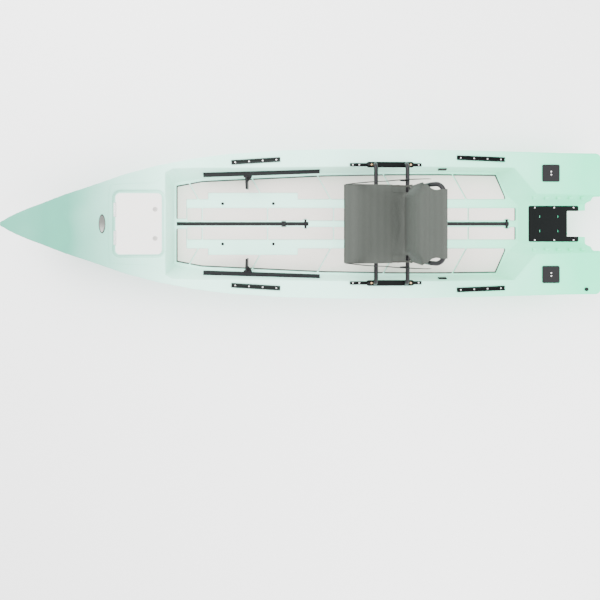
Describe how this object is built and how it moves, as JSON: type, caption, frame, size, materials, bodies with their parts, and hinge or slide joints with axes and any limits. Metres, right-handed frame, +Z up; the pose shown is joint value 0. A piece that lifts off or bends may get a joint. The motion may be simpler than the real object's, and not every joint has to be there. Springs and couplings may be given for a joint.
{
  "type": "fishing skiff kayak",
  "caption": "Rotomoulded stand-up fishing skiff kayak with an open cockpit, bow hatch, foot braces, gear tracks, motor plate and a sliding, swivelling, folding mesh seat.",
  "frame": {"origin": "under the middle of the hull, on the plane of the keel", "axes": "+Z up, -Y to the bow, +Y to the stern, +X to port"},
  "size_m": [0.96, 3.81, 0.9219],
  "materials": {
    "hull_polyethylene": "matte, fine orange peel of rotomoulded plastic",
    "lid_plastic": "matte moulded plastic",
    "deck_foam": "closed-cell foam, brushed top over a dark core",
    "black_plastic": "moulded, satin",
    "seal_rubber": "soft, matte",
    "stainless": "brushed",
    "badge_metal": "satin, blank",
    "webbing": "woven webbing",
    "track_aluminium": "black anodised",
    "brass_bolts": "satin",
    "black_tube": "black powder coat",
    "seat_frame_grey": "grey-olive powder coat",
    "seat_sling": "woven mesh"
  },
  "bodies": {
    "hull_body": {"hull": "hull_polyethylene", "hatch_seal": "seal_rubber", "hatch_hinges_hull": "stainless", "hatch_hinge_pins": "stainless", "bow_eye_plate": "stainless", "bow_badge": "badge_metal", "floor_pad_port": "deck_foam", "floor_pad_starboard": "deck_foam", "centre_pad_port": "deck_foam", "centre_pad_starboard": "deck_foam", "front_floor_strap": "webbing", "rear_floor_strap": "webbing", "strap_buckle": "black_plastic", "pad_eyes": "black_plastic", "scupper_plugs": "black_plastic", "front_gear_track_port": "track_aluminium", "front_gear_track_starboard": "track_aluminium", "rear_gear_track_port": "track_aluminium", "rear_gear_track_starboard": "track_aluminium", "seat_rail_port": "track_aluminium", "seat_rail_starboard": "track_aluminium", "deck_screws": "stainless", "foot_rail_port": "black_plastic", "foot_rail_starboard": "black_plastic", "foot_rail_bolts": "stainless", "motor_plate": "track_aluminium", "stern_screws": "stainless", "stern_plate_port": "black_plastic", "stern_plate_starboard": "black_plastic"},
    "hatch_body": {"hatch_lid": "lid_plastic", "hatch_pad": "deck_foam", "hatch_hinges_lid": "stainless"},
    "latch_port_body": {"hatch_latch_port": "black_plastic"},
    "latch_starboard_body": {"hatch_latch_starboard": "black_plastic"},
    "bow_ring_body": {"bow_eye_ring": "stainless"},
    "foot_peg_port_body": {"foot_peg_port": "black_plastic"},
    "foot_peg_starboard_body": {"foot_peg_starboard": "black_plastic"},
    "carriage_body": {"seat_slider_port": "track_aluminium", "seat_slider_starboard": "track_aluminium", "slider_bolts": "brass_bolts", "riser_hoop_front": "black_tube", "riser_hoop_rear": "black_tube", "carriage_bars": "black_tube", "swivel_base": "black_tube"},
    "knob_port_body": {"slide_lock_knob_port": "black_plastic"},
    "knob_starboard_body": {"slide_lock_knob_starboard": "black_plastic"},
    "seat_body": {"swivel_top": "black_tube", "seat_side_plate_port": "seat_frame_grey", "seat_side_plate_starboard": "seat_frame_grey", "seat_front_tube": "seat_frame_grey", "seat_cross_tubes": "black_tube", "seat_mesh": "seat_sling", "backrest_hinge_bolts": "black_tube", "recline_strap_port": "webbing", "recline_strap_starboard": "webbing", "recline_buckles": "black_plastic"},
    "lever_body": {"swivel_lever": "black_tube"},
    "backrest_body": {"backrest_frame": "seat_frame_grey", "backrest_mesh": "seat_sling"},
    "drain_plug_body": {"drain_plug": "black_plastic"}
  },
  "joints": [
    {"name": "hatch_hinge", "type": "hinge", "parent": "hull_body", "child": "hatch_body", "pos_m": [0, -1.20959, 0.34397], "axis": [1, 0, 0], "range_deg": [0, 110]},
    {"name": "latch_port_turn", "type": "hinge", "parent": "hatch_body", "child": "latch_port_body", "pos_m": [0.092, -0.9621, 0.32701], "axis": [0, 0.045, 0.999], "range_deg": [0, 90]},
    {"name": "latch_starboard_turn", "type": "hinge", "parent": "hatch_body", "child": "latch_starboard_body", "pos_m": [-0.092, -0.9621, 0.32701], "axis": [0, 0.045, 0.999], "range_deg": [-90, 0]},
    {"name": "bow_ring_swing", "type": "hinge", "parent": "hull_body", "child": "bow_ring_body", "pos_m": [0, -1.81506, 0.2757], "axis": [1, 0, 0], "range_deg": [-100, 0]},
    {"name": "foot_peg_port_slide", "type": "slide", "parent": "hull_body", "child": "foot_peg_port_body", "axis": [0.0329, 0.9995, 0], "range_m": [-0.24, 0.42]},
    {"name": "foot_peg_starboard_slide", "type": "slide", "parent": "hull_body", "child": "foot_peg_starboard_body", "axis": [-0.0329, 0.9995, 0], "range_m": [-0.24, 0.42]},
    {"name": "seat_slide", "type": "slide", "parent": "hull_body", "child": "carriage_body", "axis": [0, 0.9997, -0.0262], "range_m": [-0.105, 0.05]},
    {"name": "slide_knob_port_turn", "type": "hinge", "parent": "carriage_body", "child": "knob_port_body", "pos_m": [0.37701, 0.38933, 0.30998], "axis": [0, 0.0262, 0.9997], "continuous": true},
    {"name": "slide_knob_starboard_turn", "type": "hinge", "parent": "carriage_body", "child": "knob_starboard_body", "pos_m": [-0.37701, 0.38933, 0.30998], "axis": [0, 0.0262, 0.9997], "continuous": true},
    {"name": "seat_swivel", "type": "hinge", "parent": "carriage_body", "child": "seat_body", "pos_m": [0, 0.53029, 0.386], "axis": [0, 0, 1], "continuous": true},
    {"name": "swivel_lever_turn", "type": "hinge", "parent": "seat_body", "child": "lever_body", "pos_m": [0.026, 0.45929, 0.386], "axis": [0, 0, 1], "range_deg": [0, 25], "stiffness_Nm_per_rad": 0.2},
    {"name": "backrest_fold", "type": "hinge", "parent": "seat_body", "child": "backrest_body", "pos_m": [0, 0.63729, 0.4354], "axis": [1, 0, 0], "range_deg": [0, 62], "deforming": ["backrest_mesh", "recline_strap_port", "recline_strap_starboard", "recline_buckles"]},
    {"name": "drain_plug_turn", "type": "hinge", "parent": "hull_body", "child": "drain_plug_body", "pos_m": [0.42329, 1.809, 0.26219], "axis": [0, 0.0312, 0.9995], "continuous": true}
  ]
}
